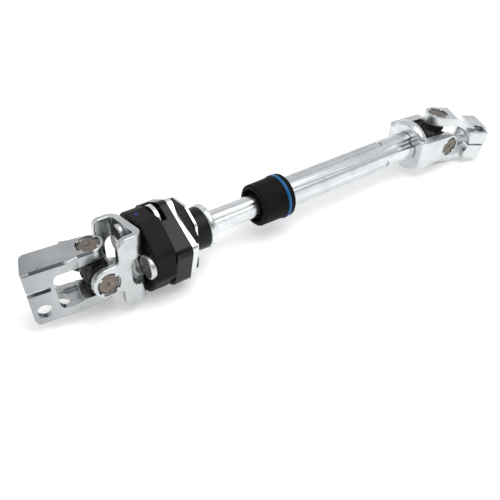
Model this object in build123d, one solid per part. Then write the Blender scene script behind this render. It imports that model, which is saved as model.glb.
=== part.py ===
from build123d import *
from math import atan2, cos, degrees, hypot, radians, sin
import os

# An intermediate steering shaft: a universal joint at each end, a rubber flexible coupling
# beside the near joint, and a telescoping shaft and tube between them.
# Millimetres. The shaft is laid out along +X with the near joint's centre at zero, then the
# whole of it is tipped until it lies on the ground.

# Joint crosses, bearing cups and seals
joint_spacing = 343.8
ear_face = 22.6
cup_recess = 1.0
cup_radius = 8.0
cup_length = 10.6
cup_floor = 1.8
cup_wall = 1.6
bearing_clearance = 0.04
cross_hub_radius = 10.2
cross_shoulder_radius = 7.8
cross_shoulder = 9.2
seal_radius = 8.5
seal_gap = 0.4
stake_ring = 0.9
stake_width = 2.4
stake_reach = 0.7

# How far the loose ends hang and swing
near_sag = 5.5
near_swing = -13.0
far_sag = 5.7
far_swing = -23.0
joint_phase = 5.9

# Near end yoke, folded from plate
near_plate = 5.0
near_half_width = 13.2
near_lug_radius = 10.6
near_ear_half = 11.4
near_ear_taper = 7.5
near_ear_rim = 1.0
near_ear_thickness = 8.6
near_length = 48.8
near_end_skew = 3.6
near_panel_end = -14.0
near_front_bend = 2.2
near_back_bend = 4.2
near_inner_bend = 1.2
near_front_corner = 2.5
near_back_corner = 10.0
near_low_corner = 7.5
near_window_left = -29.2
near_window_bottom = -14.8
near_window_top = 14.8
near_window_corner = 5.0
near_slot_right = -32.0
near_slot_low = 3.4
near_slot_high = 7.2
near_bolt_x = -39.9
near_bolt_z = -11.5
near_bolt_radius = 5.5
near_seat_radius = 9.5
near_seat_length = 18.2

# Coupling yoke, pressed from plate, carried by the near cross
wall = 5.5
base_thickness = 5.0
base_face = 30.0
yoke_bend = 9.0
yoke_half_height = 27.9
yoke_tilt = 7.3
coupling_lug_radius = 11.3
coupling_lug_lift = 1.3
shoulder_x = 9.0
shoulder_corner = 8.0
nose_x = 11.0
nose_corner = 5.5
yoke_inner_corner = 3.0
yoke_edge = 1.0
notch_left = 17.6
notch_high = 13.0
notch_low = -9.5
notch_clearance = 1.6

# Flexible coupling stack, by its faces along the shaft
disc_near = 32.0
disc_far = 49.0
boss_radius = 7.5
backing_thickness = 3.0
backing_width = 23.0
backing_clearance = 1.0
spacer_far = 62.0
flange_thickness = 4.2
pad_thickness = 3.8
retainer_thickness = 2.0
sleeve_length = 15.8
sleeve_radius = 16.4
collar_length = 5.4
collar_radius = 17.6

# Rivets: one pair holds the yoke to the disc, the other the disc to the flange plate
rivet_radius = 4.5
yoke_rivet_pitch = 19.5
yoke_rivet_lean = 10.0
flange_rivet_pitch = 22.4
flange_rivet_lean = 4.0
yoke_rivet_head = 6.4
flange_rivet_head = 9.2
head_height = 3.7
tail_radius = 7.0
tail_height = 3.0

# Telescoping shaft and tube
shaft_radius = 9.4
shaft_end = 252.0
shaft_bore = 4.0
shaft_bore_depth = 30.0
groove_turn = 39.5
shaft_groove_radius = 2.7
shaft_groove_centre = 10.8
slide_clearance = 0.05
tube_radius = 13.2
tube_start = 146.0
groove_start = 156.0
groove_depth = 1.2
groove_far_depth = 0.3
tube_groove_radius = 2.6
band_end = 276.0
band_width = 6.6
band_floor = 12.45
run_out_start = 270.0
run_out_radius = 4.6
run_out_depth = 4.4
slide_bore_end = 295.5
spigot_radius = 7.4

# End cap and its ring
cap_near = 138.0
cap_far = 168.0
cap_radius = 17.0
cap_swell = 17.7
cap_mouth_radius = 13.6
cap_mouth_depth = 4.5
cap_lip_radius = 10.6
ring_near = 160.6
ring_width = 2.8
ring_radius = 18.2
ring_inner = 16.6

# Tube yoke, welded to the far end of the tube
tube_ear = 8.0
tube_lug_radius = 10.6
tube_ear_half = 12.6
tube_base_thickness = 7.2
tube_base_clearance = 3.4
tube_yoke_bend = 4.0
tube_yoke_throat = 5.0
tube_yoke_edge = 0.8

# Far end yoke, with its slit clamp
far_ear = 7.5
far_lug_radius = 11.6
far_arm_half = 11.0
far_hub_side = 12.4
far_throat_centre = 15.0
far_shoulder_x = 14.5
far_hub_x = 33.0
far_hub_half = 14.4
far_shoulder_bend = 4.0
far_end = 46.5
far_flange_x = 28.0
far_jaw_end = 44.3
far_jaw_corner = 45.6
far_jaw_step = 0.8
far_jaw_lip = 1.5
far_flange_y = -17.2
far_flange_top = 12.2
far_bore_radius = 8.75
far_bolt_x = 38.7
far_bolt_y = -10.8
far_bolt_radius = 4.3
far_slit = 1.6

cup_face = ear_face - cup_recess
cup_mouth = cup_face - cup_length
tube_base_inner = hypot(far_lug_radius, ear_face) + tube_base_clearance
tube_base_outer = tube_base_inner + tube_base_thickness
tube_end = joint_spacing - tube_base_outer
cup_bore = cup_radius - cup_wall
journal_radius = cup_bore - bearing_clearance
journal_end = cup_face - cup_floor - 0.3
yoke_rivet_y = yoke_rivet_pitch * sin(radians(yoke_rivet_lean))
yoke_rivet_z = yoke_rivet_pitch * cos(radians(yoke_rivet_lean))
flange_rivet_y = -flange_rivet_pitch * cos(radians(flange_rivet_lean))
flange_rivet_z = flange_rivet_pitch * sin(radians(flange_rivet_lean))
base_rise = ear_face * sin(radians(yoke_tilt))
near_seat_start = near_end_skew * (near_half_width - near_seat_radius) / (2 * near_half_width)
near_seat_start -= near_length


def turned(points, axis=Axis.X):
    """Solid of revolution about an axis from a closed half profile."""
    plane = Plane.XY if axis == Axis.X else Plane.XZ
    return revolve(plane * make_face(Polyline(*points, close=True)), axis)


def along(start, end, radius, y=0.0, z=0.0):
    """Round bar parallel to X from one station to another."""
    middle = (start + end) / 2
    return Pos(middle, y, z) * Rot(0, 90, 0) * Cylinder(radius, end - start)


def across_y(x, z, radius, length):
    return Pos(x, 0, z) * Rot(90, 0, 0) * Cylinder(radius, length)


def leaning(start, end, radius):
    """Round bar between two points (x, y) beside the X axis."""
    length = hypot(end[0] - start[0], end[1] - start[1])
    lean = degrees(atan2(end[1] - start[1], end[0] - start[0]))
    middle = Pos((start[0] + end[0]) / 2, (start[1] + end[1]) / 2, 0)
    return middle * Rot(0, 0, lean) * Rot(0, 90, 0) * Cylinder(radius, length)


def slab(face, start, end):
    """Extrude a face drawn on the YZ plane between two stations along X."""
    return Pos(start, 0, 0) * extrude(Plane.YZ * face, end - start)


def rounded_outline(points, radius):
    face = make_face(Polyline(*points, close=True))
    return fillet(face.vertices(), radius)


def rounded_at(face, x, y, radius):
    """Round the corner of a face that lies nearest to a point."""
    corner = min(face.vertices(), key=lambda v: hypot(v.X - x, v.Y - y))
    return fillet(corner, radius)


def paired(points):
    """Close an outline by repeating it half a turn round the shaft."""
    return points + [(-y, -z) for y, z in points]


# Universal joint pieces, drawn about their own centre with trunnions along Y and Z
def quarter_turns():
    return [Rot(turn, 0, 0) for turn in (0, 90, 180, 270)]


def cross():
    body = Sphere(cross_hub_radius)
    for turn in (0, 90):
        shoulder = Cylinder(cross_shoulder_radius, 2 * cross_shoulder)
        journal = Cylinder(journal_radius, 2 * journal_end)
        body += Rot(turn, 0, 0) * (shoulder + chamfer(journal.edges(), 0.8))
    body -= Rot(0, 90, 0) * Cylinder(2.6, 4 * cross_hub_radius)
    return body


def seals():
    height = cup_mouth - seal_gap - cross_shoulder
    ring = Cylinder(seal_radius, height) - Cylinder(journal_radius, height)
    ring = fillet(ring.faces().sort_by(Axis.Z)[-1].edges().sort_by(SortBy.LENGTH)[-1], 0.6)
    ring = Pos(0, 0, cross_shoulder + height / 2) * ring
    return [turn * ring for turn in quarter_turns()]


def cup():
    floor = cup_face - cup_floor
    profile = [
        (cup_bore, cup_mouth),
        (cup_radius - 0.4, cup_mouth),
        (cup_radius, cup_mouth + 0.4),
        (cup_radius, cup_face - 0.7),
        (cup_radius - 0.7, cup_face),
        (1.7, cup_face),
        (1.1, cup_face - 0.5),
        (0, cup_face - 0.5),
        (0, floor),
        (cup_bore, floor),
    ]
    return turned(profile, Axis.Z)


def cups_on_z():
    return [cup(), Rot(180, 0, 0) * cup()]


def cups_on_y():
    return [Rot(90, 0, 0) * cup(), Rot(-90, 0, 0) * cup()]


def cup_bore_cut():
    """Cup bore and staked recess of one ear, along +Z."""
    bore = Pos(0, 0, ear_face - 10) * Cylinder(cup_radius, 20)
    recess_height = 4.0
    recess = Cylinder(cup_radius + stake_ring, recess_height)
    stakes = [
        Rot(0, 0, 45 + 90 * quarter)
        * Pos(cup_radius - stake_reach + 5, 0, 0)
        * Box(10, stake_width, recess_height)
        for quarter in range(4)
    ]
    recess = recess - stakes
    stake_top = [
        Rot(0, 0, 45 + 90 * quarter)
        * Pos(cup_radius - stake_reach + 5, 0, ear_face)
        * Box(10, stake_width, 2 * cup_recess)
        for quarter in range(4)
    ]
    bore = bore - stake_top
    return bore + Pos(0, 0, ear_face - cup_recess - 0.5 + recess_height / 2) * recess


# Near end yoke: a channel whose top and bottom carry the ears
def near_section(inset, front_bend, back_bend):
    """Rounded box outline of the folded plate, with its own bends front and back."""
    section = Rectangle(2 * (near_half_width - inset), 2 * (ear_face - inset))
    section = fillet(section.vertices().group_by(Axis.X)[0], front_bend)
    return fillet(section.vertices().group_by(Axis.X)[-1], back_bend)


def near_plan():
    """Outline from above: skewed clamp end on the left, ears narrowing to the right."""
    taper_start = near_panel_end - 4
    taper_end = taper_start + near_ear_taper
    right = [
        (taper_start, near_half_width),
        (taper_end, near_ear_half),
        (0, near_lug_radius),
    ]
    front = [(x, -y) for x, y in right]
    plan = make_face(Polyline(
        (near_end_skew - near_length, near_half_width), *right, *reversed(front),
        (-near_length, -near_half_width), close=True))
    plan = rounded_at(plan, -near_length, -near_half_width, near_front_corner)
    plan = rounded_at(plan, near_end_skew - near_length, near_half_width, near_back_corner)
    return plan + Circle(near_lug_radius)


def near_ear(side):
    """One ear, thicker than the plate, cleared inside the channel."""
    level = side * (ear_face - near_ear_thickness / 2)
    plan = near_plan() & Pos(near_panel_end - 4 + 25, 0) * Rectangle(50, 4 * near_half_width)
    ear = Pos(0, 0, level - near_ear_thickness / 2) * extrude(plan, near_ear_thickness)
    rim = ear.faces().sort_by(Axis.Z)[-1 if side > 0 else 0]
    ear = fillet(rim.edges().filter_by(lambda edge: edge.center().X > near_panel_end - 3), near_ear_rim)
    inner_level = side * (ear_face - near_plate - 10)
    return ear - Pos(near_panel_end - 8, 0, inner_level) * Box(
        16, 2 * (near_half_width - near_plate), 20)


def near_end_yoke():
    height = 2 * ear_face
    outer = near_section(0, near_front_bend, near_back_bend)
    inner = near_section(near_plate, near_inner_bend, near_inner_bend)
    channel = slab(outer - inner, -near_length, near_panel_end)
    clamp_gap = Pos(-near_length, 0, -ear_face) * Box(
        2 * (near_length + near_slot_right + 4.5),
        2 * (near_half_width - near_plate),
        4 * near_plate)
    relief = Pos(near_slot_right + 2.5, 0, -ear_face) * Cylinder(
        near_half_width - near_plate, 4 * near_plate)
    channel = channel - clamp_gap - relief
    for side in (1, -1):
        channel += near_ear(side)

    window_length = near_panel_end - near_window_left + 20
    window_height = near_window_top - near_window_bottom
    window = Pos(
        near_window_left + window_length / 2,
        0,
        (near_window_top + near_window_bottom) / 2)
    opening = window * Rot(90, 0, 0) * extrude(
        RectangleRounded(window_length, window_height, near_window_corner),
        2 * near_half_width, both=True)
    keep = Pos(near_panel_end + 25, 0, 0) * Box(50, 60, 60)
    channel -= opening - keep

    slot_length = near_length + near_slot_right + 5
    channel -= Pos(
        near_slot_right - slot_length / 2,
        0,
        (near_slot_low + near_slot_high) / 2) * Box(
            slot_length, 4 * near_half_width, near_slot_high - near_slot_low)
    channel -= across_y(near_bolt_x, near_bolt_z, near_bolt_radius, 60)
    channel -= along(-near_length - 1, near_seat_start + near_seat_length, near_seat_radius)

    side_view = Rectangle(near_length + 60, height)
    corners = side_view.vertices().group_by(Axis.X)[0]
    side_view = fillet(corners.sort_by(Axis.Y)[0], near_low_corner)
    envelope = Pos(-near_length + (near_length + 60) / 2, 0, 0) * Rot(90, 0, 0) * extrude(
        side_view, 40, both=True)
    channel = channel & envelope & extrude(near_plan(), 40, both=True)
    for turn in (0, 180):
        channel -= Rot(turn, 0, 0) * cup_bore_cut()
    return channel


# Coupling yoke: a pressed loop whose front and back walls lean and carry the ears
def coupling_side_profile():
    """Outline of the front wall in its own lean: X to the right, Z up."""
    high = yoke_half_height
    lug_level = coupling_lug_lift - base_rise
    top = lug_level + coupling_lug_radius
    low = lug_level - coupling_lug_radius
    wall_side = make_face(Polyline(
        (0, low), (nose_x, low), (nose_x, -high), (base_face + 1, -high), (base_face + 1, high),
        (shoulder_x, high), (shoulder_x, top), (0, top), close=True))
    wall_side = rounded_at(wall_side, shoulder_x, high, shoulder_corner)
    wall_side = rounded_at(wall_side, nose_x, -high, nose_corner)
    wall_side = rounded_at(wall_side, shoulder_x, top, yoke_inner_corner)
    wall_side = rounded_at(wall_side, nose_x, low, yoke_inner_corner)
    return wall_side + Pos(0, lug_level) * Circle(coupling_lug_radius)


def is_rim(face):
    """Whether a face of the leaning loop is on its cut edge rather than on its walls."""
    lean = Vector(0, cos(radians(yoke_tilt)), -sin(radians(yoke_tilt)))
    normal = face.normal_at(face.center())
    on_base = abs(normal.X) > 0.9 and abs(face.center().Y) < base_thickness
    return abs(normal.dot(lean)) < 0.02 and not on_base


def coupling_loop():
    """The leaning loop before its notches and holes, with its cut edges rounded."""
    plan_outer = Rectangle(base_face + 2 * coupling_lug_radius, 2 * ear_face)
    plan_outer = fillet(plan_outer.vertices().group_by(Axis.X)[-1], yoke_bend)
    plan_outer = Pos(base_face / 2 - coupling_lug_radius, 0) * plan_outer
    inner_length = base_face - base_thickness + 2 * coupling_lug_radius + 10
    plan_inner = Rectangle(inner_length, 2 * (ear_face - wall))
    plan_inner = fillet(plan_inner.vertices().group_by(Axis.X)[-1], yoke_bend - wall)
    plan_inner = Pos(base_face - base_thickness - inner_length / 2, 0) * plan_inner
    strap = extrude(plan_outer - plan_inner, 40, both=True)
    front = Rot(-yoke_tilt, 0, 0) * Rot(90, 0, 0) * extrude(coupling_side_profile(), 40)
    return strap & (front + Rot(180, 0, 0) * front)


def coupling_yoke():
    strap = coupling_loop()
    rims = strap.faces().filter_by(is_rim)
    lean = Vector(0, cos(radians(yoke_tilt)), -sin(radians(yoke_tilt)))
    rim_edges = ShapeList({
        edge for face in rims for edge in face.edges()
        if abs((edge @ 1 - edge @ 0).normalized().dot(lean)) < 0.99})
    strap = fillet(rim_edges, yoke_edge)

    notch_height = notch_high - notch_low
    notch_view = Pos(notch_left + 15, (notch_high + notch_low) / 2) * RectangleRounded(
        30, notch_height, 6)
    notch = Pos(0, -ear_face + wall + 1.5, 0) * Rot(90, 0, 0) * extrude(notch_view, 20)
    notch += along(
        notch_left + 2, 40, flange_rivet_head + notch_clearance, flange_rivet_y, flange_rivet_z)
    for turn in (0, 180):
        strap -= Rot(turn, 0, 0) * notch
        strap -= Rot(turn, 0, 0) * along(0, 40, rivet_radius, yoke_rivet_y, yoke_rivet_z)
    strap -= along(0, 40, 8)
    for turn in (90, -90):
        strap -= Rot(turn, 0, 0) * cup_bore_cut()
    return strap


# Flexible coupling
disc_outline = paired([
    (10.0, 28.0), (-10.5, 29.5), (-30.5, 12.0), (-31.5, -8.0), (-17.0, -25.5)])
flange_outline = paired([(3.8, 32.0), (-32.6, 8.4), (-25.4, -21.5)])
pad_outline = paired([(8.0, 29.0), (-10.0, 29.5), (-27.0, 12.0), (-24.5, -15.0)])
retainer_outline = paired([(9.8, 28.0), (-9.0, 29.6), (-22.6, 20.0), (-23.2, -13.5)])


def rivet_places():
    return [(yoke_rivet_y, yoke_rivet_z), (-yoke_rivet_y, -yoke_rivet_z),
            (flange_rivet_y, flange_rivet_z), (-flange_rivet_y, -flange_rivet_z)]


def coupling_disc():
    disc = slab(rounded_outline(disc_outline, 7), disc_near, disc_far)
    faces = disc.faces().sort_by(Axis.X)
    disc = fillet(faces[0].edges() + faces[-1].edges(), 2.0)
    for turn in (0, 180):
        disc += Rot(turn, 0, 0) * along(
            base_face, disc_near + 3, boss_radius, yoke_rivet_y, yoke_rivet_z)
    for y, z in rivet_places():
        disc -= along(base_face - 1, disc_far + 1, rivet_radius, y, z)
    disc -= along(base_face - 1, disc_far + 1, 11)
    return disc


def backing_plate():
    outline = Rot(0, 0, 90 - yoke_rivet_lean) * SlotCenterToCenter(
        2 * yoke_rivet_pitch, backing_width)
    plate = slab(outline, disc_far, disc_far + backing_thickness)
    for turn in (0, 180):
        plate -= Rot(turn, 0, 0) * along(40, 60, rivet_radius, yoke_rivet_y, yoke_rivet_z)
    plate -= along(40, 60, 11)
    return plate


def coupling_spacer():
    """Moulded block between the disc and the flange plate, pocketed round the backing plate."""
    spacer = slab(rounded_outline(flange_outline, 8), disc_far, spacer_far)
    pocket = Rot(0, 0, 90 - yoke_rivet_lean) * SlotCenterToCenter(
        2 * yoke_rivet_pitch + 36, backing_width + 2 * backing_clearance)
    pocket_far = disc_far + backing_thickness + tail_height + backing_clearance
    spacer -= slab(pocket, disc_far - 1, pocket_far)
    for turn in (0, 180):
        spacer -= Rot(turn, 0, 0) * along(
            40, 70, rivet_radius, flange_rivet_y, flange_rivet_z)
    spacer -= along(40, 70, 11)
    return spacer


def flange_plate():
    plate = slab(rounded_outline(flange_outline, 6), spacer_far, spacer_far + flange_thickness)
    for turn in (0, 180):
        plate -= Rot(turn, 0, 0) * along(
            60, 70, rivet_radius, flange_rivet_y, flange_rivet_z)
    plate -= along(60, 70, shaft_radius)
    return plate


pad_near = spacer_far + flange_thickness
retainer_near = pad_near + pad_thickness
sleeve_near = retainer_near + retainer_thickness
collar_near = sleeve_near + sleeve_length


def isolator_pad():
    pad = slab(rounded_outline(pad_outline, 6), pad_near, retainer_near)
    for turn in (0, 180):
        pad -= Rot(turn, 0, 0) * along(
            60, 80, tail_radius + 0.5, flange_rivet_y, flange_rivet_z)
    pad -= along(60, 80, shaft_radius)
    return pad


def retainer_plate():
    plate = slab(rounded_outline(retainer_outline, 5), retainer_near, sleeve_near)
    return plate - along(60, 80, shaft_radius)


def bushing_sleeve():
    profile = [
        (sleeve_near, shaft_radius),
        (sleeve_near, sleeve_radius + 0.6),
        (sleeve_near + 1.5, sleeve_radius + 0.6),
        (sleeve_near + 2.5, sleeve_radius - 0.6),
        (collar_near - 3.0, sleeve_radius),
        (collar_near, sleeve_radius),
        (collar_near, shaft_radius),
    ]
    return turned(profile)


def bushing_collar():
    ring = along(collar_near, collar_near + collar_length, collar_radius)
    faces = ring.faces().sort_by(Axis.X)
    ring = fillet(faces[0].edges() + faces[-1].edges(), 2.2)
    return ring - along(0, 200, shaft_radius)


def rivet(stations, radii, y, z):
    """Rivet from its head, shank and tail stations along X."""
    head, seat, tail, end = stations
    head_radius, shank, tail_r = radii
    profile = [
        (head, 0),
        (head, head_radius - 1.2),
        (head + 0.9, head_radius),
        (seat, head_radius),
        (seat, shank),
        (tail, shank),
        (tail, tail_r),
        (end - 1.6, tail_r),
        (end, tail_r - 2.4),
        (end, 0),
    ]
    return Pos(0, y, z) * turned(profile)


def yoke_rivets():
    seat = base_face - base_thickness
    tail = disc_far + backing_thickness
    stations = (seat - head_height, seat, tail, tail + tail_height)
    one = rivet(stations, (yoke_rivet_head, rivet_radius, tail_radius),
                yoke_rivet_y, yoke_rivet_z)
    return [one, Rot(180, 0, 0) * one]


def flange_rivets():
    tail = pad_near
    stations = (disc_near - head_height, disc_near, tail, tail + tail_height)
    one = rivet(stations, (flange_rivet_head, rivet_radius, tail_radius),
                flange_rivet_y, flange_rivet_z)
    return [one, Rot(180, 0, 0) * one]


# Telescoping shaft and tube
def around(angles, shape):
    return [Rot(angle, 0, 0) * shape for angle in angles]


def shaft_round(angle):
    """Turn about X that puts a feature of the +Y side at the given angle above -Y."""
    return 180 - angle


main_grooves = [shaft_round(groove_turn + 90 * quarter) for quarter in range(4)]


def inner_shaft():
    shaft = along(spacer_far, shaft_end, shaft_radius)
    shaft -= around(main_grooves, along(
        collar_near + collar_length + 3, shaft_end + 1, shaft_groove_radius, shaft_groove_centre))
    return shaft - along(shaft_end - shaft_bore_depth, shaft_end + 1, shaft_bore)


def tube_grooves():
    """One rolled groove, shallower away from the cap, and the deep leaf where it runs out."""
    outside = tube_radius + tube_groove_radius
    groove = leaning(
        (groove_start, outside - groove_depth),
        (run_out_start + 4, outside - groove_far_depth),
        tube_groove_radius)
    brim = tube_radius + run_out_radius
    leaf = leaning(
        (run_out_start, brim),
        (2 * tube_end - run_out_start, brim - 2 * run_out_depth),
        run_out_radius)
    return [groove, leaf]


def tube_band():
    """Shallow flat pressed between two grooves, with round ends."""
    length = band_end - groove_start
    outline = SlotOverall(length, band_width)
    return Rot(-90, 0, 0) * Pos(groove_start + length / 2, 0, band_floor) * extrude(outline, 4)


def outer_tube():
    tube = along(tube_start, tube_end, tube_radius)
    hollow = along(tube_start - 1, slide_bore_end, shaft_radius + slide_clearance)
    rib_radius = shaft_groove_radius - 2 * slide_clearance
    hollow -= around(main_grooves, along(
        tube_start - 2, slide_bore_end + 1, rib_radius, shaft_groove_centre))
    tube -= hollow
    tube -= along(slide_bore_end - 1, tube_end + 1, spigot_radius + slide_clearance)
    for cut in tube_grooves():
        tube -= around(main_grooves, cut)
    tube -= around([turn + 45 for turn in main_grooves], tube_band())
    return tube


def end_cap():
    profile = [
        (cap_near, cap_mouth_radius),
        (cap_near, cap_radius - 1.2),
        (cap_near + 1.2, cap_radius),
        (ring_near - 3, cap_radius + 0.3),
        (ring_near - 1, cap_swell),
        (ring_near, cap_swell),
        (ring_near, ring_inner),
        (ring_near + ring_width, ring_inner),
        (ring_near + ring_width, cap_swell),
        (cap_far - 1, cap_swell),
        (cap_far, cap_swell - 1),
        (cap_far, tube_radius),
        (tube_start, tube_radius),
        (tube_start, cap_lip_radius),
        (cap_near + cap_mouth_depth, cap_lip_radius),
        (cap_near + cap_mouth_depth, cap_mouth_radius),
    ]
    return turned(profile)


def cap_ring():
    ring = along(ring_near, ring_near + ring_width, ring_radius)
    faces = ring.faces().sort_by(Axis.X)
    ring = fillet(faces[0].edges() + faces[-1].edges(), 0.8)
    return ring - along(100, 200, ring_inner)


# Tube yoke, drawn about the far joint's centre: a round base bent up into two ears
def tube_yoke():
    plan = Pos((tube_lug_radius - tube_base_outer) / 2, 0) * Rectangle(
        tube_base_outer + tube_lug_radius, 2 * ear_face)
    plan = fillet(plan.vertices().group_by(Axis.X)[0], tube_yoke_bend)
    throat_length = tube_base_inner + 40
    throat = Pos(throat_length / 2 - tube_base_inner, 0) * Rectangle(
        throat_length, 2 * (ear_face - tube_ear))
    throat = fillet(throat.vertices().group_by(Axis.X)[0], tube_yoke_throat)
    side = make_face(Polyline(
        (-tube_base_outer, tube_ear_half), (-tube_base_inner, tube_ear_half), (0, tube_lug_radius),
        (0, -tube_lug_radius), (-tube_base_inner, -tube_ear_half),
        (-tube_base_outer, -tube_ear_half), close=True)) + Circle(tube_lug_radius)
    body = extrude(plan - throat, 40, both=True) & (
        Rot(90, 0, 0) * extrude(side, 40, both=True))
    outer_faces = body.faces().filter_by(lambda face: abs(face.center().Y) > ear_face - 0.01)
    body = fillet(outer_faces.edges().filter_by(
        lambda edge: edge.center().X > tube_yoke_bend - tube_base_outer + 0.5), tube_yoke_edge)

    base = along(-tube_base_outer, -tube_base_inner, ear_face)
    faces = base.faces().sort_by(Axis.X)
    base = fillet(faces[0].edges(), tube_yoke_bend)
    base = fillet(base.faces().sort_by(Axis.X)[-1].edges(), tube_yoke_edge)
    body += base
    body += along(-tube_base_outer - (tube_end - slide_bore_end) + 1, -tube_base_outer, spigot_radius)
    for turn in (90, -90):
        body -= Rot(turn, 0, 0) * cup_bore_cut()
    return body


# Far end yoke, drawn about its own joint's centre, clamp towards +X
def far_end_yoke():
    ear_inner = ear_face - far_ear
    outer = make_face(Polyline(
        (-far_lug_radius, ear_face), (far_shoulder_x, ear_face), (far_hub_x, far_hub_half),
        (far_end, far_hub_half), (far_end, -far_hub_half), (far_hub_x, -far_hub_half),
        (far_shoulder_x, -ear_face), (-far_lug_radius, -ear_face), close=True))
    bends = outer.vertices().filter_by(lambda v: 0 < v.X < far_end - 1)
    outer = fillet(bends, far_shoulder_bend)
    throat = Circle(ear_inner)
    mouth = Pos(-20, 0) * Rectangle(40, 2 * ear_inner)
    side = outer - Pos(far_throat_centre, 0) * (throat + mouth)
    body = Rot(90, 0, 0) * extrude(side, far_hub_side, both=True)
    plan = Circle(far_lug_radius) + make_face(Polyline(
        (0, far_arm_half), (far_shoulder_x, far_arm_half), (far_hub_x, far_hub_side),
        (far_end, far_hub_side), (far_end, -far_hub_side), (far_hub_x, -far_hub_side),
        (far_shoulder_x, -far_arm_half), (0, -far_arm_half), close=True))
    body = body & extrude(plan, 40, both=True)

    flange_side = make_face(Polyline(
        (far_flange_x, far_flange_top), (far_end, far_flange_top), (far_end, far_jaw_step),
        (far_jaw_corner, -far_jaw_lip), (far_jaw_end, -far_hub_half),
        (far_flange_x, -far_hub_half), close=True))
    flange = Rot(90, 0, 0) * extrude(flange_side, -far_flange_y)
    front = flange.faces().sort_by(Axis.Y)[0]
    flange = fillet(front.edges(), 1.0)
    body += flange
    body -= Pos(far_throat_centre, 0, 0) * Rot(90, 0, 0) * Cylinder(ear_inner, 60)
    body -= along(20, 60, far_bore_radius)
    body -= Pos(40, far_flange_y, 0) * Box(40, -2 * far_flange_y, far_slit)
    body -= Pos(far_bolt_x, far_bolt_y, 0) * Cylinder(far_bolt_radius, 60)
    for turn in (0, 180):
        body -= Rot(turn, 0, 0) * cup_bore_cut()
    return body


# Where each group stands before the shaft is laid down
near_cross_place = Rot(0, -near_sag, 0)
near_yoke_place = near_cross_place * Rot(0, 0, near_swing)
tube_yoke_place = Pos(joint_spacing, 0, 0) * Rot(joint_phase, 0, 0)
far_cross_place = tube_yoke_place * Rot(0, far_sag, 0)
far_yoke_place = far_cross_place * Rot(0, 0, far_swing)
straight = Pos(0, 0, 0)

pieces = {
    "near_end_yoke": (near_yoke_place, [near_end_yoke()]),
    "near_yoke_cups": (near_yoke_place, cups_on_z()),
    "near_cross": (near_cross_place, [cross()]),
    "near_cross_seals": (near_cross_place, seals()),
    "coupling_yoke": (straight, [coupling_yoke()]),
    "coupling_yoke_cups": (straight, cups_on_y()),
    "yoke_rivets": (straight, yoke_rivets()),
    "flange_rivets": (straight, flange_rivets()),
    "coupling_disc": (straight, [coupling_disc()]),
    "backing_plate": (straight, [backing_plate()]),
    "coupling_spacer": (straight, [coupling_spacer()]),
    "flange_plate": (straight, [flange_plate()]),
    "isolator_pad": (straight, [isolator_pad()]),
    "retainer_plate": (straight, [retainer_plate()]),
    "bushing_sleeve": (straight, [bushing_sleeve()]),
    "bushing_collar": (straight, [bushing_collar()]),
    "inner_shaft": (straight, [inner_shaft()]),
    "outer_tube": (straight, [outer_tube()]),
    "end_cap": (straight, [end_cap()]),
    "cap_ring": (straight, [cap_ring()]),
    "tube_yoke": (tube_yoke_place, [tube_yoke()]),
    "tube_yoke_cups": (tube_yoke_place, cups_on_y()),
    "far_cross": (far_cross_place, [cross()]),
    "far_cross_seals": (far_cross_place, seals()),
    "far_end_yoke": (far_yoke_place, [far_end_yoke()]),
    "far_yoke_cups": (far_yoke_place, cups_on_z()),
}


def placed(tip, shift):
    lay = shift * Rot(0, tip, 0)
    return {
        name: [lay * place * solid for solid in solids]
        for name, (place, solids) in pieces.items()
    }


def lowest(solids_by_name, names):
    return min(
        solid.bounding_box().min.Z for name in names for solid in solids_by_name[name])


coupling_names = ["coupling_disc", "coupling_yoke", "coupling_spacer", "flange_plate"]
far_names = ["tube_yoke", "far_end_yoke"]
tip = 0.0
for attempt in range(6):
    laid = placed(tip, Pos(0, 0, 0))
    step_up = lowest(laid, far_names) - lowest(laid, coupling_names)
    tip += degrees(atan2(step_up, joint_spacing))

boxes = [solid.bounding_box() for solids in laid.values() for solid in solids]
low = Vector(min(b.min.X for b in boxes), min(b.min.Y for b in boxes), min(b.min.Z for b in boxes))
high = Vector(max(b.max.X for b in boxes), max(b.max.Y for b in boxes), 0)
shift = Vector(-(low.X + high.X) / 2, -(low.Y + high.Y) / 2, -low.Z)
laid = placed(tip, Pos(shift.X, shift.Y, shift.Z))
print("tip", round(tip, 4), "shift", shift)

os.makedirs("parts", exist_ok=True)
for name, solids in laid.items():
    shape = solids[0] if len(solids) == 1 else Compound(children=solids)
    export_step(shape, f"parts/{name}.step")
    print(name, len(solids), round(sum(solid.volume for solid in solids), 1))
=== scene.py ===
# %% [markdown]
# # An intermediate steering shaft, dressed for a studio picture
#
# The part's metal, rubber and plastic pieces come from the packed model and are already
# the right shape and size. What they lack is a surface. This lesson loads them, builds a
# family of finishes for them from noise and edge masks, and lights them in a small white
# studio.

# %% Load the packed model
import math

import bpy
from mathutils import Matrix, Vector

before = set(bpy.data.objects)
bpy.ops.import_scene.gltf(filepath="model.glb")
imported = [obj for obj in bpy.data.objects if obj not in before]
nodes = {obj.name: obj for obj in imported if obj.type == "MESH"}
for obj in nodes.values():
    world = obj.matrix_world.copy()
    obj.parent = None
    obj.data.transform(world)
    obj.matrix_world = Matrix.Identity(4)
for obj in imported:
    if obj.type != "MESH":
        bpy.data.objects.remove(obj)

scene = bpy.context.scene
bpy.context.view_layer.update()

# %% [markdown]
# ## The colour settings
#
# A white product picture wants its colours to come out as they are written, so the plain
# Standard view is used, not the filmic one, which would turn the white paper grey.

# %% Colour settings
scene.view_settings.view_transform = "Standard"
print("view:", scene.view_settings.view_transform)

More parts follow.
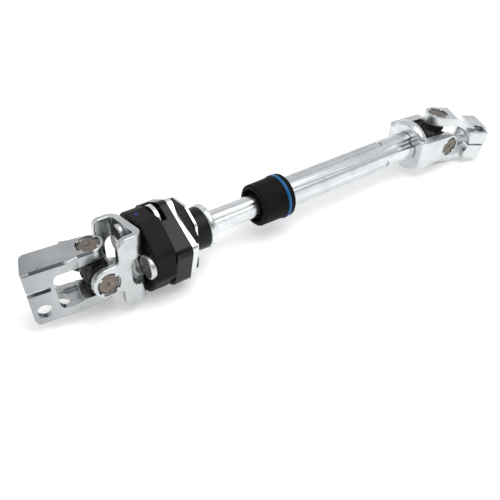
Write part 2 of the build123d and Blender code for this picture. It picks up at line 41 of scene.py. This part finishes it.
# %% [markdown]
# ## The camera
#
# The picture was taken with a normal lens from the left, about 35 degrees above the paper,
# and close enough that the near yoke looks much bigger than the far one. A camera could be
# aimed by eye until the picture looks right. Here its place, turn and lens come from
# matching the bearing cups and the shaft's line, so sizes can be compared too.

# %% Camera
CAMERA_PLACE = (-0.323805, -0.393121, 0.344505)  # metres
CAMERA_TURN = (53.8659, 1.0192, -36.8129)  # degrees
LENS = 53.261  # millimetres
SENSOR_WIDTH = 36  # millimetres
NEAREST_SEEN = 0.01  # metres

camera_data = bpy.data.cameras.new("camera")
camera_data.lens = LENS
camera_data.sensor_width = SENSOR_WIDTH
camera_data.clip_start = NEAREST_SEEN
camera = bpy.data.objects.new("camera", camera_data)
camera.location = CAMERA_PLACE
camera.rotation_euler = [math.radians(angle) for angle in CAMERA_TURN]
scene.collection.objects.link(camera)
scene.camera = camera
print("camera at", CAMERA_PLACE, "lens", LENS)

# %% [markdown]
# ## Helpers for finishes
#
# Every finish is one Principled shader with a few nodes before it. The nodes could be
# placed and wired by hand in the shader editor, but the finishes share most of them, so
# these helpers add and wire a node in one line. A value that is the same all over the
# surface is set on the shader's own socket. Only what varies is linked.

# %% Adding a node
def add_node(tree, kind, inputs=None, **settings):
    """Add a node. Each input is given a plain value, or a socket to link from."""
    made = tree.nodes.new(kind)
    for name, value in settings.items():
        setattr(made, name, value)
    for key, value in (inputs or {}).items():
        if isinstance(value, bpy.types.NodeSocket):
            tree.links.new(value, made.inputs[key])
        else:
            made.inputs[key].default_value = value
    return made


print("helper:", add_node.__name__)

# %% [markdown]
# The Mix node has a pair of inputs for each kind of value, all called A and B, so its
# colour sockets are taken by number. A noise's scale counts its cells in a metre: 55 gives
# clouds 18 mm across, and 700 gives specks of about a millimetre. A noise's values gather
# round 0.5, so fit stretches the part that is used, such as 0.38 to 0.68, to a full range.

# %% The Finish class
MM = 0.001  # one millimetre, in metres
MIX_FIRST = 6
MIX_SECOND = 7
MIX_RESULT = 2
VALUE_OPERATIONS = ("DOT_PRODUCT", "DISTANCE", "LENGTH")


class Finish:
    """A material with a Principled shader, and short ways to add nodes before it."""

    def __init__(self, name, **values):
        self.material = bpy.data.materials.new(name)
        self.material.use_nodes = True
        self.tree = self.material.node_tree
        self.shader = self.tree.nodes["Principled BSDF"]
        for socket, value in values.items():
            self.shader.inputs[socket.replace("_", " ")].default_value = value
        self.where = self.node("ShaderNodeTexCoord").outputs["Object"]

    def node(self, kind, inputs=None, **settings):
        return add_node(self.tree, kind, inputs, **settings)

    def link(self, output, socket):
        self.tree.links.new(output, self.shader.inputs[socket])

    def paint(self, colour):
        """Give the surface a colour, and keep it for marks that are laid over it later."""
        self.colour = colour
        self.link(colour, "Base Color")

    def noise(self, scale, detail=4, roughness=0.5, where=None):
        return self.node("ShaderNodeTexNoise", {
            "Vector": self.where if where is None else where, "Scale": scale,
            "Detail": detail, "Roughness": roughness}).outputs["Fac"]

    def fit(self, value, low, high, start=0.0, end=1.0):
        """Stretch part of a value's range to another range, clamped."""
        return self.node("ShaderNodeMapRange", {
            "Value": value, "From Min": low, "From Max": high,
            "To Min": start, "To Max": end}).outputs[0]

    def math(self, operation, first, second=0.0):
        return self.node(
            "ShaderNodeMath", {0: first, 1: second}, operation=operation).outputs[0]

    def vector(self, operation, first, second=(0, 0, 0)):
        made = self.node("ShaderNodeVectorMath", {0: first, 1: second}, operation=operation)
        return made.outputs["Value" if operation in VALUE_OPERATIONS else "Vector"]

    def mix(self, share, first, second):
        """Blend two colours, each of them a socket or plain red, green and blue."""
        first, second = (
            colour if isinstance(colour, bpy.types.NodeSocket) else (*colour, 1)
            for colour in (first, second))
        return self.node("ShaderNodeMix", {
            "Factor": share, MIX_FIRST: first, MIX_SECOND: second},
            data_type="RGBA").outputs[MIX_RESULT]

    def over(self, colour, tone, mask, strength):
        """Lay a tone over a colour where a mask is 1, at part of its full strength."""
        return self.mix(self.math("MULTIPLY", mask, strength), colour, tone)


print("ways to add nodes:", [name for name in vars(Finish) if not name.startswith("_")])

# %% [markdown]
# ## Rounded edges and painted shade in creases
#
# No real edge is perfectly sharp: each one catches a thin line of light and is the first
# place to be rubbed. A bevel modifier could round the model's edges, but the model's
# meshes stay as they are, so a Bevel node turns the normal near each edge instead. Where
# the turned normal leaves the true one, the surface is on an edge. Creases are found the
# other way round, with ambient occlusion: a point deep in a corner sees little round it,
# and there the colour is darkened as painted shade.

# %% Masks for edges and painted shade in creases
RAY_SAMPLES = 6
EDGE_FACING = (0.999, 0.90)  # how far the two normals agree, off an edge and on it
OPEN_VIEW = (0.85, 0.38)  # how much a point sees, on a face and in a crease


def soft_edges(finish, radius):
    """The surface normal with its edges rounded, and a mask that is 1 on them."""
    rounded = finish.node(
        "ShaderNodeBevel", {"Radius": radius * MM}, samples=RAY_SAMPLES).outputs[0]
    true = finish.node("ShaderNodeNewGeometry").outputs["True Normal"]
    return rounded, finish.fit(finish.vector("DOT_PRODUCT", rounded, true), *EDGE_FACING)


def crease_shade(finish, reach):
    """A mask for painted shade: 1 deep in holes, grooves and corners, and 0 on open faces."""
    seen_share = finish.node(
        "ShaderNodeAmbientOcclusion", {"Distance": reach * MM}, samples=RAY_SAMPLES)
    return finish.fit(seen_share.outputs["AO"], *OPEN_VIEW)


def relief(finish, normal, *layers):
    """Lay bumps over a normal. Each layer is a height and its depth in millimetres."""
    for height, depth in layers:
        normal = finish.node("ShaderNodeBump", {
            "Height": height, "Distance": depth * MM, "Normal": normal}).outputs[0]
    finish.link(normal, "Normal")


print("masks from", RAY_SAMPLES, "rays")

# %% [markdown]
# ## Bright zinc plate
#
# Nearly every metal piece of the real shaft is steel with a bright zinc plate. The plate
# is a mirror with a fine grain: it shows the paper and the lamps, slightly blurred, and
# a little blue. Pressed plate waves gently, forged steel waves more, and drawn tube has
# darker streaks along its length. A photograph of plate could be wrapped round the pieces,
# but noise has no seams and no picture to load. One recipe serves all of them, with the
# brightness, the wave, the grain and the streaks as its arguments. Edges are rubbed to an
# even light grey, and creases are darkened with painted shade.

# %% Streaks along the shaft
SHAFT_SLOPE = 0.0222  # how far the shaft's line falls for each metre along X, as it lies


def along_shaft(finish, squeeze):
    """Coordinates squeezed along the tipped shaft, so that a noise runs in streaks."""
    parts = finish.node("ShaderNodeSeparateXYZ", {0: finish.where}).outputs
    fall = finish.math("MULTIPLY", parts["X"], SHAFT_SLOPE)
    return finish.node("ShaderNodeCombineXYZ", {
        "X": finish.math("MULTIPLY", parts["X"], squeeze),
        "Y": parts["Y"],
        "Z": finish.math("ADD", parts["Z"], fall)}).outputs[0]


print("the shaft falls by", round(math.degrees(math.atan(SHAFT_SLOPE)), 2), "degrees")

# %% Zinc recipe
PLATE_TINT = (0.955, 0.99, 1.0)
PLATE_RUBBED = (0.72, 0.745, 0.755)
PLATE_SHADE = (0.10, 0.112, 0.12)
PLATE_CLOUD = {"scale": 55, "detail": 5, "roughness": 0.6}
PLATE_SCUFF = {"scale": 700, "detail": 2}
PLATE_STREAK = {"scale": 420, "detail": 3}
PLATE_WAVE = {"scale": 90, "detail": 2, "roughness": 0.4}
STREAK_TONE = 0.68
STREAK_STRENGTH = 0.8
RUBBED_STRENGTH = 0.5
CREASE_SHADE_REACH = 2.2  # millimetres
CREASE_SHADE_STRENGTH = 0.85
CLOUD_ROUGHENS = 0.10
SCUFF_ROUGHENS = 0.05


def zinc(name, level, roughness, wave, grain, squeeze=None, dull=0.2, edge=0.7):
    """Zinc plate at a level of brightness. Wave, grain and edge are in millimetres."""
    finish = Finish(name, Metallic=1.0, IOR=1.8)
    cloud = finish.noise(**PLATE_CLOUD)
    drawn = along_shaft(finish, squeeze) if squeeze else None
    scuff = finish.noise(**PLATE_SCUFF, where=drawn)
    rounded, worn = soft_edges(finish, edge)

    bright = [level * tint for tint in PLATE_TINT]
    dulled = [(1 - dull) * part for part in bright]
    colour = finish.mix(finish.fit(cloud, 0.38, 0.68), bright, dulled)
    if squeeze:
        streak = finish.noise(**PLATE_STREAK, where=along_shaft(finish, squeeze / 4))
        darker = [STREAK_TONE * part for part in bright]
        colour = finish.over(colour, darker, finish.fit(streak, 0.50, 0.66), STREAK_STRENGTH)
    colour = finish.over(colour, PLATE_RUBBED, worn, RUBBED_STRENGTH)
    # Painted shade: creases are darkened towards PLATE_SHADE.
    finish.paint(finish.over(colour, PLATE_SHADE, crease_shade(finish, CREASE_SHADE_REACH), CREASE_SHADE_STRENGTH))

    clouded = finish.fit(cloud, 0.35, 0.7, roughness, roughness + CLOUD_ROUGHENS)
    scuffed = finish.fit(scuff, 0.4, 0.8, 0.0, SCUFF_ROUGHENS)
    finish.link(finish.math("ADD", clouded, scuffed), "Roughness")
    relief(finish, rounded, (finish.noise(**PLATE_WAVE), wave), (scuff, grain))
    return finish


print("plate tint:", PLATE_TINT)

# %% Zinc finishes
folded_zinc = zinc("folded zinc plate", 0.53, 0.17, wave=0.07, grain=0.002, edge=0.9)
pressed_zinc = zinc("pressed zinc plate", 0.63, 0.20, wave=0.12, grain=0.002, edge=0.9)
forged_zinc = zinc("forged zinc plate", 0.72, 0.18, wave=0.22, grain=0.002)
tube_zinc = zinc("drawn zinc tube", 0.76, 0.12, wave=0.015, grain=0.002, squeeze=0.04)
shaft_zinc = zinc("rolled zinc shaft", 0.84, 0.17, wave=0.02, grain=0.002, squeeze=0.06)
cut_zinc = zinc("stamped zinc plate", 0.80, 0.16, wave=0.06, grain=0.003, dull=0.12)
rivet_zinc = zinc("headed zinc rivet", 0.66, 0.24, wave=0.10, grain=0.006, edge=1.0)
print("finishes so far:", [material.name for material in bpy.data.materials if "zinc" in material.name])

# %% [markdown]
# ## Marks on the plate
#
# A few marks tell the pieces apart from fresh plate. They could be painted by hand on an
# unwrapped mesh, but each one is simple enough to be measured from a point or a line, and
# noise makes its outline ragged.

# %% Masks for spots and stripes
SPOT_FRILL = {"scale": 900, "detail": 3}
SPOT_FADE = 0.15  # millimetres
STRIPE_FRILL = {"scale": 500, "detail": 3}
STRIPE_RAGGED = 0.4  # millimetres
STRIPE_FADE = 0.5  # millimetres
STRIPE_CORE = 0.1  # millimetres


def spot(finish, place, radius, ragged):
    """A mask that is 1 inside a ragged spot round a point, all in millimetres."""
    away = finish.vector("DISTANCE", finish.where, Vector(place) * MM)
    frill = finish.math("MULTIPLY", finish.noise(**SPOT_FRILL), ragged * MM)
    rim = radius + ragged / 2
    return finish.fit(
        finish.math("ADD", away, frill), (rim + SPOT_FADE) * MM, (rim - SPOT_FADE) * MM)


def off_axis(finish, middle, axis):
    """How far the surface is from a line through a point."""
    arm = finish.vector("SUBTRACT", finish.where, middle)
    return finish.vector("LENGTH", finish.vector("CROSS_PRODUCT", arm, axis))


def stripe(finish, start, end, radius):
    """A mask that is 1 along a ragged line between two points, all in millimetres."""
    start, end = (Vector(point) * MM for point in (start, end))
    length = (end - start).length
    run = (end - start).normalized()
    fade = STRIPE_FADE * MM
    along = finish.vector("DOT_PRODUCT", finish.vector("SUBTRACT", finish.where, start), run)
    begun = finish.fit(along, -fade, fade)
    not_ended = finish.fit(along, length + fade, length - fade)
    frill = finish.math("MULTIPLY", finish.noise(**STRIPE_FRILL), STRIPE_RAGGED * MM)
    reach = finish.math("ADD", off_axis(finish, start, run), frill)
    across = finish.fit(reach, radius * MM + fade, (radius - STRIPE_CORE) * MM)
    return finish.math("MULTIPLY", across, finish.math("MULTIPLY", begun, not_ended))


print("masks for spots and stripes ready")

# %% [markdown]
# The folded yoke is painted darker towards its clamp end and has a small scratch there.
# Dark stripes of painted reflection run along its long bend and beside its ear. The shaft
# has a little scuff beside the collar. The places are points on the model, found
# by looking along the photographed marks.

# %% Darker clamp end, painted bend reflections, scratch and scuff
UNDARKENED_X = -198  # millimetres
DARKEST_X = -219  # millimetres
CLAMP_END_STRENGTH = 0.55
CLAMP_END_TONE = (0.25, 0.27, 0.285)
BEND_RUN = ((-216.5, -0.9, 51.5), (-193.6, -6.2, 53.3))
EAR_RUN = ((-184.3, -7.0, 54.1), (-173.1, -8.8, 54.5))
BEND_RADIUS = 1.2
BEND_REFLECTION_TONE = (0.05, 0.062, 0.072)
BEND_REFLECTION_STRENGTH = 0.9
SCRATCH_PLACE = (-209.6, 0.55, 52.38)
SCRATCH_TONE = (0.10, 0.11, 0.12)
SCRATCH_STRENGTH = 0.7
SCUFF_PLACE = (-65.5, -4.75, 35.7)
SCUFF_TONE = (0.22, 0.22, 0.22)
SCUFF_STRENGTH = 0.6

# The plate is painted darker towards the clamp end.
along_x = folded_zinc.node("ShaderNodeSeparateXYZ", {0: folded_zinc.where}).outputs["X"]
clamp_end_darkening = folded_zinc.fit(along_x, UNDARKENED_X * MM, DARKEST_X * MM, 0.0, CLAMP_END_STRENGTH)
folded_zinc.paint(folded_zinc.mix(clamp_end_darkening, folded_zinc.colour, CLAMP_END_TONE))
# Painted reflection: dark stripes along the long bend and beside the ear.
for start, end in (BEND_RUN, EAR_RUN):
    painted_bend_reflection = stripe(folded_zinc, start, end, BEND_RADIUS)
    folded_zinc.paint(folded_zinc.over(folded_zinc.colour, BEND_REFLECTION_TONE, painted_bend_reflection, BEND_REFLECTION_STRENGTH))
scratch = spot(folded_zinc, SCRATCH_PLACE, radius=0.7, ragged=1.6)
folded_zinc.paint(folded_zinc.over(folded_zinc.colour, SCRATCH_TONE, scratch, SCRATCH_STRENGTH))
scuff_mark = spot(shaft_zinc, SCUFF_PLACE, radius=0.6, ragged=1.4)
shaft_zinc.paint(shaft_zinc.over(shaft_zinc.colour, SCUFF_TONE, scuff_mark, SCUFF_STRENGTH))
print("marks: tarnish, two bend lines, scratch, scuff")

# %% [markdown]
# The rivets' pressed faces, which look along the shaft towards the near yoke, are painted
# a dark brown-grey, and only their rims are still bright. The faces could be given a
# second material, but the meshes stay as they are, so the colour follows the face's own
# direction.

# %% Rivet faces
HEADS_FACE = (-1, 0, 0.02)  # along the shaft, towards the near yoke
HEAD_FACING = (0.93, 0.985)
HEAD_CLOUD = {"scale": 420}
HEAD_DARK = (0.075, 0.068, 0.060)
HEAD_LIGHT = (0.135, 0.125, 0.113)

true_normal = rivet_zinc.node("ShaderNodeNewGeometry").outputs["True Normal"]
pressed_face = rivet_zinc.fit(
    rivet_zinc.vector("DOT_PRODUCT", true_normal, HEADS_FACE), *HEAD_FACING)
head_cloud = rivet_zinc.fit(rivet_zinc.noise(**HEAD_CLOUD), 0.4, 0.65)
head_tone = rivet_zinc.mix(head_cloud, HEAD_DARK, HEAD_LIGHT)
rivet_zinc.paint(rivet_zinc.mix(pressed_face, rivet_zinc.colour, head_tone))
print("rivet heads face", HEADS_FACE)

# %% [markdown]
# ## Bearing steel
#
# The cups aren't plated. Their faces are hardened steel that has turned brown-grey under
# oil, with a small dimple in the middle and faint rings from the press that shut them.
# The rings need the middle of each face. It could be typed in, but it is worked out from
# the mesh: both cups of a pair sit on one line, and rings about that line fit them both.

# %% The line through a pair of cups
def cup_line(name):
    """The point midway between a pair of cups, and the direction of the line through both."""
    corners = [vertex.co.copy() for vertex in nodes[name].data.vertices]
    middle = sum(corners, Vector()) / len(corners)
    farthest = max(corners, key=lambda corner: (corner - middle).length)
    one_cup = [corner for corner in corners if (corner - middle).dot(farthest - middle) > 0]
    return middle, (sum(one_cup, Vector()) / len(one_cup) - middle).normalized()


CUP_NODES = ("near_yoke_cups", "coupling_yoke_cups", "tube_yoke_cups", "far_yoke_cups")
cup_lines = {name: cup_line(name) for name in CUP_NODES}
for name, (middle, direction) in cup_lines.items():
    print(name, "middle:", [round(part, 4) for part in middle])

# %% [markdown]
# The cross under the cups is the same steel, darker and wet with grease, and has no rings.

# %% Bearing steel
STEEL_CLOUD = {"scale": 260, "detail": 6, "roughness": 0.65}
STEEL_SPECK = {"scale": 2200, "detail": 2, "roughness": 0.6}
STEEL_RUBBED = (0.30, 0.28, 0.26)
SPECK_TONE = (0.03, 0.027, 0.025)
RING_PITCH = 1.5  # millimetres
RING_TONE = (0.05, 0.044, 0.038)
RING_HEIGHT = 0.8
DIMPLE_RADII = (1.7, 0.9)  # millimetres
DIMPLE_TONE = (0.04, 0.035, 0.03)
RIM_SHADE_RADII = (6.9, 7.8)  # millimetres
RIM_SHADE_TONE = (0.02, 0.018, 0.016)
STEEL_EDGE = 0.3  # millimetres
STEEL_RELIEF = 0.012  # millimetres
STEEL_ROUGHENS = 0.15


def press_rings(finish, colour, line):
    """Rings, dimple and a rim of painted shade about a line: the colour with them, and their height."""
    radius = off_axis(finish, *line)
    turns = finish.math(
        "SINE", finish.math("MULTIPLY", radius, 2 * math.pi / (RING_PITCH * MM)))
    dimple = finish.fit(radius, *(part * MM for part in DIMPLE_RADII))
    rim_shade = finish.fit(radius, *(part * MM for part in RIM_SHADE_RADII))
    colour = finish.over(colour, RING_TONE, finish.fit(turns, 0.2, 1.0), strength=0.35)
    colour = finish.over(colour, DIMPLE_TONE, dimple, strength=0.5)
    # Painted shade: each cup darkens towards its rim, beside the gap round it.
    colour = finish.over(colour, RIM_SHADE_TONE, rim_shade, strength=0.7)
    return colour, finish.math("MULTIPLY", turns, RING_HEIGHT)


def bearing_steel(name, dark, light, roughness, line=None):
    finish = Finish(name, Metallic=0.85, IOR=1.6)
    cloud = finish.noise(**STEEL_CLOUD)
    speck = finish.noise(**STEEL_SPECK)
    rounded, edge = soft_edges(finish, STEEL_EDGE)
    colour = finish.mix(finish.fit(cloud, 0.35, 0.68), dark, light)
    colour = finish.over(colour, SPECK_TONE, finish.fit(speck, 0.62, 0.75), strength=0.5)
    colour = finish.over(colour, STEEL_RUBBED, edge, strength=0.35)
    height = speck
    if line:
        colour, rings = press_rings(finish, colour, line)
        height = finish.math("ADD", speck, rings)
    finish.paint(colour)
    clouded = finish.fit(cloud, 0.3, 0.7, roughness, roughness + STEEL_ROUGHENS)
    finish.link(clouded, "Roughness")
    relief(finish, rounded, (height, STEEL_RELIEF))
    return finish


cup_steels = {
    name: bearing_steel(f"oiled steel {name}", (0.155, 0.132, 0.112), (0.27, 0.235, 0.205), 0.36, line)
    for name, line in cup_lines.items()}
cross_steel = bearing_steel("greasy cross steel", (0.026, 0.024, 0.023), (0.075, 0.07, 0.067), 0.28)
print("bearing finishes:", len(cup_steels) + 1)

# %% [markdown]
# ## Rubber and moulded plastic
#
# The disc, the pad, the sleeve and the tube's cap are black. Rubber is matt with a dusty
# bloom and tiny pits. The moulded block behind the disc is smoother and shows small
# bright reflections. One recipe serves both, with its shine as an argument. Black is
# never zero: it keeps a little grey, or the form is lost.

# %% Recipe for black mouldings
BLACK_CLOUD = {"scale": 70, "detail": 6, "roughness": 0.65}
BLACK_PITS = {"scale": 1500, "detail": 3, "roughness": 0.6}
BLACK_EDGE = 0.5  # millimetres
BLACK_SWELL = 0.25  # millimetres
BLOOM_ON_EDGES = 0.55
BLOOM_ROUGHENS = 0.18


def black_moulding(name, colour, bloom, roughness, pits, gloss):
    """Rubber or plastic with a pale bloom. The pits' depth is in millimetres."""
    finish = Finish(name, Metallic=0.0, Specular_IOR_Level=gloss)
    cloud = finish.noise(**BLACK_CLOUD)
    rounded, edge = soft_edges(finish, BLACK_EDGE)
    tone = finish.mix(finish.fit(cloud, 0.42, 0.75), colour, bloom)
    finish.paint(finish.over(tone, bloom, edge, BLOOM_ON_EDGES))
    finish.link(finish.fit(cloud, 0.3, 0.75, roughness, roughness + BLOOM_ROUGHENS), "Roughness")
    relief(finish, rounded, (cloud, BLACK_SWELL), (finish.noise(**BLACK_PITS), pits))
    return finish


print("bloom roughens by", BLOOM_ROUGHENS)

# %% Black finishes
disc_rubber = black_moulding(
    "disc rubber", (0.0045, 0.0045, 0.005), (0.012, 0.012, 0.013), 0.46, pits=0.02, gloss=0.13)
cap_rubber = black_moulding(
    "cap rubber", (0.004, 0.004, 0.004), (0.009, 0.009, 0.009), 0.48, pits=0.012, gloss=0.07)
pad_rubber = black_moulding(
    "pad rubber", (0.0045, 0.005, 0.006), (0.010, 0.011, 0.012), 0.30, pits=0.015, gloss=0.18)
block_plastic = black_moulding(
    "block plastic", (0.003, 0.0035, 0.004), (0.008, 0.009, 0.010), 0.18, pits=0.015, gloss=0.26)
seal_rubber = black_moulding(
    "seal rubber", (0.010, 0.010, 0.010), (0.024, 0.024, 0.024), 0.5, pits=0.01, gloss=0.3)
print("black finishes:", 5)

# %% [markdown]
# An inspector's small dot of blue paint sits on the disc's top edge. It is a ragged spot,
# like the marks on the plate.

# %% Paint dot
DOT_PLACE = (-131.7, 5.6, 60.1)
DOT_BLUE = (0.012, 0.045, 0.24)

paint_dot = spot(disc_rubber, DOT_PLACE, radius=1.5, ragged=1.4)
disc_rubber.paint(disc_rubber.mix(paint_dot, disc_rubber.colour, DOT_BLUE))
print("paint dot at", DOT_PLACE)

# %% [markdown]
# ## The blue ring
#
# One bright accent: a smooth blue ring in the cap's groove. It is moulded plastic, so its
# colour is nearly even, with a slightly worn, lighter edge.

# %% Blue ring
RING_BLUE = (0.001, 0.085, 0.230)
RING_PALER = (0.002, 0.115, 0.290)
RING_WORN = (0.01, 0.20, 0.46)
RING_CLOUD = {"scale": 140}
RING_EDGE = 0.3  # millimetres
RING_RELIEF = 0.05  # millimetres

ring_finish = Finish("blue ring plastic", Metallic=0.0, Specular_IOR_Level=0.25)
ring_cloud = ring_finish.noise(**RING_CLOUD)
ring_round, ring_edge = soft_edges(ring_finish, RING_EDGE)
ring_tone = ring_finish.mix(ring_finish.fit(ring_cloud, 0.35, 0.7), RING_BLUE, RING_PALER)
ring_finish.paint(ring_finish.over(ring_tone, RING_WORN, ring_edge, strength=0.25))
ring_finish.link(ring_finish.fit(ring_cloud, 0.3, 0.7, 0.28, 0.42), "Roughness")
relief(ring_finish, ring_round, (ring_cloud, RING_RELIEF))
print("ring finish:", ring_finish.material.name)

# %% [markdown]
# ## Dress the pieces
#
# Each node of the model already has one material slot. Assigning to it swaps the plain
# colour for the finish and leaves the mesh as it is.

# %% Dress the pieces
WEARS = {
    "near_end_yoke": folded_zinc,
    "coupling_yoke": pressed_zinc,
    "yoke_rivets": rivet_zinc,
    "flange_rivets": rivet_zinc,
    "backing_plate": cut_zinc,
    "flange_plate": cut_zinc,
    "retainer_plate": cut_zinc,
    "bushing_collar": shaft_zinc,
    "inner_shaft": shaft_zinc,
    "outer_tube": tube_zinc,
    "tube_yoke": forged_zinc,
    "far_end_yoke": forged_zinc,
    "near_cross": cross_steel,
    "far_cross": cross_steel,
    "near_cross_seals": seal_rubber,
    "far_cross_seals": seal_rubber,
    "coupling_disc": disc_rubber,
    "coupling_spacer": block_plastic,
    "isolator_pad": pad_rubber,
    "bushing_sleeve": pad_rubber,
    "end_cap": cap_rubber,
    "cap_ring": ring_finish,
    **cup_steels,
}
for name, finish in WEARS.items():
    for slot in nodes[name].material_slots:
        slot.material = finish.material
undressed = sorted(set(nodes) - set(WEARS))
print("dressed:", len(WEARS), "undressed:", undressed)

# %% [markdown]
# ## The paper
#
# The floor is a wide sheet of white paper. A mirror-bright plate shows whatever stands
# round it, so the studio matters as much as the finish. More light would turn the paper
# white, but it would burn out the plate too. The paper is lifted to plain white by a little
# glow instead, which only the camera, reflections and see-through pieces see, so it
# lights nothing and keeps the part's shadow.

# %% Paper
PAPER_SIZE = 12  # metres
PAPER_BELOW = 0.0002  # metres
PAPER_TONES = ((0.84, 0.84, 0.84), (0.86, 0.86, 0.86))
PAPER_CLOUD = {"scale": 30, "detail": 3}
PAPER_GLOW = 0.31

bpy.ops.object.select_all(action="DESELECT")
bpy.ops.mesh.primitive_plane_add(size=PAPER_SIZE, location=(0, 0, -PAPER_BELOW))
paper = bpy.context.object
paper.name = "paper"
paper_finish = Finish(
    "white paper", Roughness=0.9, Specular_IOR_Level=0.1, Emission_Color=(1, 1, 1, 1))
paper_finish.paint(paper_finish.mix(paper_finish.noise(**PAPER_CLOUD), *PAPER_TONES))
ray = paper_finish.node("ShaderNodeLightPath").outputs
mirrored = paper_finish.math("MAXIMUM", ray["Is Camera Ray"], ray["Is Glossy Ray"])
watched = paper_finish.math("MAXIMUM", mirrored, ray["Is Transmission Ray"])
paper_finish.link(paper_finish.math("MULTIPLY", watched, PAPER_GLOW), "Emission Strength")
paper.data.materials.append(paper_finish.material)
print("paper", tuple(round(side, 2) for side in paper.dimensions))

# %% [markdown]
# ## The lamps
#
# The photograph's shadow is soft and stays close to the part. A wide lamp high up, a little
# in front of the shaft and to its right, throws such a shadow, and a weak one high on the
# left adds a little light on the near end. A lamp behind the shaft would show in the yokes'
# flat tops as a white patch, so neither of them stands there.

# %% Lamps
def lamp(name, place, size, power):
    """A round lamp that is aimed at the middle of the paper. Sizes in metres, power in watts."""
    data = bpy.data.lights.new(name, "AREA")
    data.shape = "DISK"
    data.size = size
    data.energy = power
    made = bpy.data.objects.new(name, data)
    made.location = place
    made.rotation_euler = (-Vector(place)).to_track_quat("-Z", "Y").to_euler()
    scene.collection.objects.link(made)


lamp("key lamp", (0.25, -0.45, 1.25), size=1.2, power=9)
lamp("fill lamp", (-1.10, 0.10, 1.10), size=0.8, power=2)

# %% [markdown]
# ## The room
#
# The world is the room round the paper. It is white at the horizon all round. Above that
# the far side is a light grey, which the flat tops of the yokes reflect. The near side,
# behind the photographer, has a narrow dark band a little above the horizon: rounded
# bends that turn from the top to the front reflect it as the dark lines that make zinc
# plate look like metal. A picture of a studio could do the same, but two short lists of
# tones are easier to adjust. The room is fixed in space, so it stays where it is when the
# part is seen from elsewhere.

# %% Tones of the room
NEAR_SIDE = (-0.636, -0.772, 0.0)  # from the part towards the photographer, on the level
NEAR_SIDE_FULL = 0.45
WALL_BLUE = 1.02
# Each pair is a height and a tone, where the height is the sine of the angle above the horizon
FAR_TONES = (
    (0.00, 1.00), (0.18, 1.00), (0.32, 0.76), (0.58, 0.74), (0.74, 0.84), (1.00, 0.84))
NEAR_TONES = (
    (0.00, 1.00), (0.16, 0.92), (0.27, 0.12), (0.42, 0.12), (0.58, 0.72), (1.00, 0.84))

world = bpy.data.worlds.new("room")
scene.world = world
world.use_nodes = True
room = world.node_tree


def wall_tones(height, tones):
    """The tones of one side, blended from the horizon up to the ceiling."""
    ramp = add_node(room, "ShaderNodeValToRGB", {"Fac": height})
    stops = ramp.color_ramp.elements
    for stop, (place, tone) in zip(stops, (tones[0], tones[-1])):
        stop.position = place
        stop.color = (tone, tone, tone, 1)
    for place, tone in tones[1:-1]:
        stops.new(place).color = (tone, tone, tone * WALL_BLUE, 1)
    return ramp.outputs["Color"]


print("room tones:", len(FAR_TONES) + len(NEAR_TONES))

# %% Walls of the room
direction = add_node(room, "ShaderNodeTexCoord").outputs["Generated"]
height = add_node(room, "ShaderNodeSeparateXYZ", {0: direction}).outputs["Z"]
nearness = add_node(
    room, "ShaderNodeVectorMath", {0: direction, 1: NEAR_SIDE}, operation="DOT_PRODUCT")
near_share = add_node(room, "ShaderNodeMapRange", {
    "Value": nearness.outputs["Value"], "From Min": 0.0, "From Max": NEAR_SIDE_FULL})
walls = add_node(room, "ShaderNodeMix", {
    "Factor": near_share.outputs[0],
    MIX_FIRST: wall_tones(height, FAR_TONES),
    MIX_SECOND: wall_tones(height, NEAR_TONES)}, data_type="RGBA")
background = room.nodes["Background"]
room.links.new(walls.outputs[MIX_RESULT], background.inputs["Color"])
background.inputs["Strength"].default_value = 1.0
print("room nodes:", len(room.nodes))
